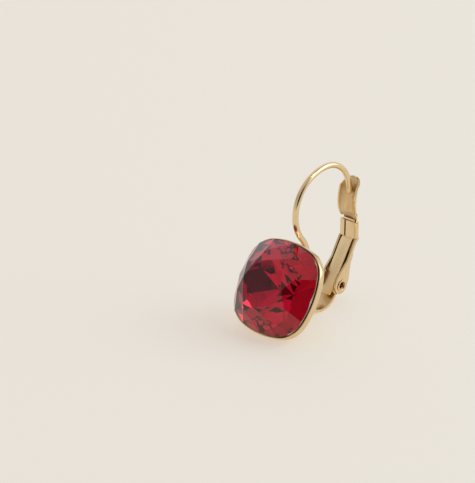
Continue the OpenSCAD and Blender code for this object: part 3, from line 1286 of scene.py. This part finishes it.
@dataclass
class Spring:
    """The flat spring in front of the pin."""

    width: float = 1.76
    thick: float = 0.17
    top_w: float = 2.62
    edge_round: float = 0.03

    def build(self) -> Mesh:
        """Bend the strip.

        Returns:
            The mesh.
        """
        h = SIZES.hinge
        # A place on the strip's middle line, and the slope in degrees of a cut across it there
        route = (
            (SIZES.upright(-0.02, self.top_w), 30.54),
            (SIZES.upright(-0.035, 0.0), 5.27),
            (h(-0.47, 5.94), -8),
            (h(-0.63, 1.54), 2.3),
            (h(-0.7, 0.0), 4.8),
            (h(-0.91, -1.71), 7),
        )
        t = self.thick / 2
        front = [(y - t, z - t * math.tan(math.radians(a))) for (y, z), a in route]
        back = [(y + t, z + t * math.tan(math.radians(a))) for (y, z), a in route]
        bm = plate([*front, *reversed(back)], self.width)
        soften(bm, self.edge_round)
        return bm

    def dress(self, gold: Material) -> None:
        """Make the piece."""
        piece("flat_spring", self.build(), [gold], Body.LEVER, Slot.GOLD, "spring")


@dataclass
class HingePin:
    """The hollow rivet through the bracket and the lever.

    The roundings are given across the axis and along it. The second finish, which paints the shade in
    the dished ends of the hole, lies between two distances outside the hole.
    """

    radius: float = 0.55
    hole: float = 0.38
    head_r: float = 0.78
    head_t: float = 0.13
    head_gap: float = 0.03
    dish_w: float = 0.18
    dish_deep: float = 0.2
    inner_round: Point = (0.03, 0.04)
    outer_round: Point = (0.04, 0.01)
    dish_round: Point = (0.06, 0.02)
    dish_seen: Point = (0.02, 0.15)
    steps: int = 48
    sharp: float = 0.7

    def build(self) -> Mesh:
        """Turn the rivet about its axis.

        Returns:
            The mesh; the dished ends of its hole have the second material, which paints their shade.
        """
        bm = bmesh.new()
        y, z = SIZES.pivot
        inner = SIZES.lever_w / 2 + self.head_gap
        end = inner + self.head_t
        # Radius and place along the axis, from the middle to one end
        half = [
            (self.radius, 0.0),
            (self.radius, inner),
            (self.head_r - self.inner_round[0], inner),
            (self.head_r, inner + self.inner_round[1]),
            (self.head_r - self.outer_round[0], end - self.outer_round[1]),
            (self.hole + self.dish_w + self.dish_round[0], end),
            (self.hole + self.dish_w, end - self.dish_round[1]),
            (self.hole, end - self.dish_deep),
        ]
        ring = half + [(r, -x) for r, x in reversed(half[1:])]
        verts = [bm.verts.new((x, y, z + r)) for r, x in ring]
        edges = [bm.edges.new(ends) for ends in zip(verts, verts[1:] + verts[:1])]
        spin(bm, verts + edges, (0, y, z), (1, 0, 0), 2 * math.pi, self.steps, closed=True)
        outward(bm)
        mark(bm, self.dished)
        return bm

    def dished(self, face: Face) -> bool:
        """Tell whether a face is on a dished end of the hole."""
        out = (face.calc_center_median().yz - Vector(SIZES.pivot)).length - self.hole
        return self.dish_seen[0] < out < self.dish_seen[1]

    def dress(self, gold: Material, painted_shade: Material) -> None:
        """Make the piece."""
        piece("hollow_rivet", self.build(), [gold, painted_shade], Body.FIXED, Slot.GOLD, "hinge_pin",
              sharp=self.sharp)


@dataclass(frozen=True)
class Zone:
    """A lighter or darker part of the room, round a direction from the earring, in degrees.

    Its colour is full within the inner angle and fades out to the outer one.
    """

    azimuth: float
    elevation: float
    inner: float
    outer: float
    color: Color


@dataclass(frozen=True)
class Lamp:
    """A soft square light that faces the earring, in degrees, metres and watts."""

    name: str
    azimuth: float
    elevation: float
    size: float
    power: float
    color: Color
    distance: float = 1.0
    aim_h: float = 0.01

    def hang(self) -> None:
        """Hang the light."""
        place = direction(self.azimuth, self.elevation) * self.distance
        data = bpy.data.lights.new(self.name, "AREA")
        data.shape = "SQUARE"
        data.size = self.size
        data.energy = self.power
        data.color = self.color
        turn = (Vector((0, 0, self.aim_h)) - place).to_track_quat("-Z", "Y").to_matrix().to_4x4()
        put(self.name, data).matrix_world = Matrix.Translation(place) @ turn


@dataclass
class Studio:
    """Pale floor, soft light and the camera.

    The camera's tilt and turn are in radians, and its offset from the earring in millimetres.
    Each zone of the room lies over those before it.
    """

    focal_px: float = 1461.98
    image: tuple[int, int] = (475, 483)
    sensor: float = 36.0
    near: float = 0.005
    tilt: float = 0.417929
    turn: float = -0.755511
    offset: tuple[float, float, float] = (4.71329, 5.82082, 184.76723)
    floor_half: float = 2.0
    room_color: Color = (0.57, 0.56, 0.55)
    zones: tuple[Zone, ...] = (
        Zone(232, 22, 25, 65, (0.64, 0.61, 0.56)),
        Zone(231, 22, 7, 22, (0.38, 0.39, 0.43)),
        Zone(152, 30, 25, 45, (0.82, 0.80, 0.87)),
        Zone(154, 12, 12, 30, (1.1, 1.08, 1.15)),
        Zone(95, 5, 20, 60, (0.80, 0.78, 0.75)),
        Zone(-30, 14, 20, 36, (0.04, 0.03, 0.025)),
    )
    lamps: tuple[Lamp, ...] = (
        Lamp("window_right_back", 45, 27, 0.8, 3.8, (1.0, 0.98, 0.95)),
        Lamp("small_lamp", 20, 56, 0.16, 0.35, (1.0, 0.96, 0.97)),
    )

    def camera(self) -> None:
        """Place the camera at the photograph's angle."""
        st, ct = math.sin(self.tilt), math.cos(self.tilt)
        look = Matrix(((1, 0, 0), (0, 0, -1), (0, 1, 0)))
        down = Matrix(((1, 0, 0), (0, ct, -st), (0, st, ct)))
        rows = look @ down @ Matrix.Rotation(self.turn, 3, "Z")
        place = SIZES.stand - rows.transposed() @ Vector(self.offset)
        axes = Matrix((rows[0], -rows[1], -rows[2])).transposed()
        data = bpy.data.cameras.new("camera")
        data.sensor_width = self.sensor
        data.lens = self.focal_px * self.sensor / max(self.image)
        data.clip_start = self.near
        obj = put("camera", data)
        obj.matrix_world = Matrix.Translation(place * MM) @ axes.to_4x4()
        bpy.context.scene.camera = obj

    def floor(self) -> None:
        """Lay the floor."""
        bm = bmesh.new()
        bmesh.ops.create_grid(bm, x_segments=1, y_segments=1, size=self.floor_half)
        mesh = bpy.data.meshes.new("floor")
        bm.to_mesh(mesh)
        bm.free()
        mesh.materials.append(PaperFinish().build())
        obj = put("floor", mesh)

    def room(self) -> None:
        """Colour the surroundings by direction from the earring."""
        world = bpy.data.worlds.new("surroundings")
        world.use_nodes = True
        tree = world.node_tree
        place = add_node(tree, "ShaderNodeTexCoord")
        below = add_node(tree, "ShaderNodeRGB").outputs["Color"]
        below.default_value = (*self.room_color, 1)
        for zone in self.zones:
            middle = direction(zone.azimuth, zone.elevation)
            ends = {"From Min": math.cos(math.radians(zone.outer)),
                    "From Max": math.cos(math.radians(zone.inner))}
            toward = add_node(tree, "ShaderNodeVectorMath", {1: middle}, operation="DOT_PRODUCT")
            share = add_node(tree, "ShaderNodeMapRange", ends, interpolation_type="SMOOTHSTEP")
            mix = add_node(tree, "ShaderNodeMix", {"B": (*zone.color, 1)}, data_type="RGBA")
            wire_up(
                tree,
                (place, "Generated", toward, 0),
                (toward, "Value", share, "Value"),
                (share, "Result", mix, "Factor"),
            )
            tree.links.new(below, mix.inputs["A"])
            below = mix.outputs["Result"]
        background = tree.nodes["Background"]
        background.inputs["Strength"].default_value = 1.0
        tree.links.new(below, background.inputs["Color"])
        bpy.context.scene.world = world

    def build(self) -> None:
        """Make the camera, floor and lights."""
        self.camera()
        self.floor()
        for lamp in self.lamps:
            lamp.hang()
        self.room()
        bpy.context.scene.view_settings.view_transform = "Standard"


@dataclass
class Earring:
    """The whole earring."""

    stone: Stone = field(default_factory=Stone)
    cup: Cup = field(default_factory=Cup)
    bracket: Bracket = field(default_factory=Bracket)
    hook: EarHook = field(default_factory=EarHook)
    lever: Lever = field(default_factory=Lever)
    spring: Spring = field(default_factory=Spring)
    pin: HingePin = field(default_factory=HingePin)

    def build(self) -> None:
        """Build every piece with its finish."""
        front = CrystalFinish().build()
        back = FoilFinish("crystal_back_coat").build()
        girdle = FoilFinish("crystal_girdle", (0.90, 0.80, 0.78)).build()
        polished = GoldFinish("gold_polished").build()
        pressed = GoldFinish("gold_pressed", low=0.16, high=0.28, bump=0.1).build()
        # Painted shade: a dark brown gold on faces in slots, folds, seams and holes, where little light
        # reaches
        painted_shade = GoldFinish("gold_painted_shade", (0.40, 0.20, 0.08), (0.31, 0.14, 0.05), 0.35, 0.5).build()
        # Painted shade: a darker, browner gold for the inside of the trough
        trough = GoldFinish("gold_trough_painted_shade", (0.64, 0.45, 0.22), (0.54, 0.35, 0.15), 0.2, 0.32).build()
        # Rougher gold for the inside of the shell, a little darker as painted shade in the hollow
        bowl = GoldFinish("gold_bowl_rough_painted_shade", (0.80, 0.62, 0.36), (0.70, 0.50, 0.25), 0.38, 0.5).build()
        # Satin gold for the spring, its colour raised near full strength as painted light so that it looks
        # more brightly lit
        satin = GoldFinish("gold_spring_painted_light", (0.99, 0.78, 0.46), (0.96, 0.74, 0.42), 0.32, 0.42).build()
        self.stone.dress(front, back, girdle)
        self.cup.dress(polished)
        self.bracket.dress(pressed, trough, painted_shade)
        self.hook.dress(polished)
        self.lever.dress(pressed, painted_shade, bowl)
        self.spring.dress(satin)
        self.pin.dress(polished, painted_shade)


def main() -> None:
    """Build the scene."""
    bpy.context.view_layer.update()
    Studio().build()
    Earring().build()


if __name__ == "__main__":
    main()
